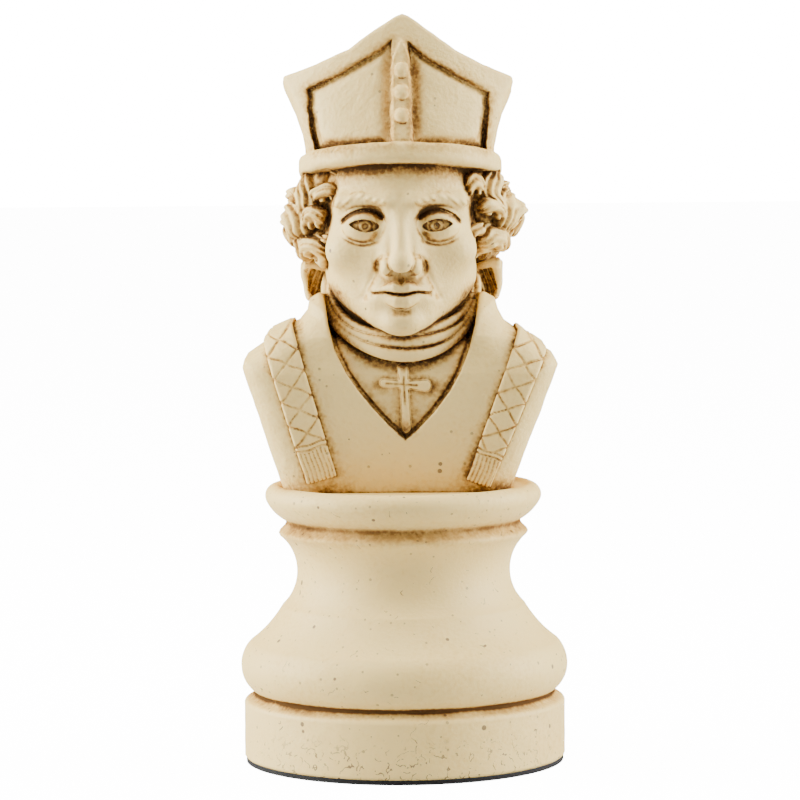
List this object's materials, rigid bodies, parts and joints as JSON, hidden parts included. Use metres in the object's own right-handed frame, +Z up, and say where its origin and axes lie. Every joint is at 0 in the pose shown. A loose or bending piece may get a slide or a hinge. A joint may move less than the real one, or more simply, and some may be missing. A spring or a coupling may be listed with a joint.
{
  "type": "chess piece",
  "caption": "Bishop chess piece: mitred bust with neckcloth, stole bands and cross, pinned to a turned, weighted pedestal with a baize foot.",
  "frame": {"origin": "centre of the baize pad's underside, where the piece stands on the board", "axes": "+Z up along the pedestal's turning axis; the bust faces -Y; +X is to the viewer's right when facing the bust"},
  "size_m": [0.0442, 0.0442, 0.1011],
  "materials": {
    "cast_resin": "satin",
    "baize": "matt",
    "millboard": "matt",
    "ballast": "matt",
    "plaster": "matt",
    "pin_steel": "satin"
  },
  "bodies": {
    "root": {"baize_pad": "baize", "closing_disc": "millboard", "ballast_slug": "ballast", "potting_plaster": "plaster", "pedestal_casting": "cast_resin", "dowel_pins": "pin_steel", "bust_casting": "cast_resin"}
  },
  "joints": []
}
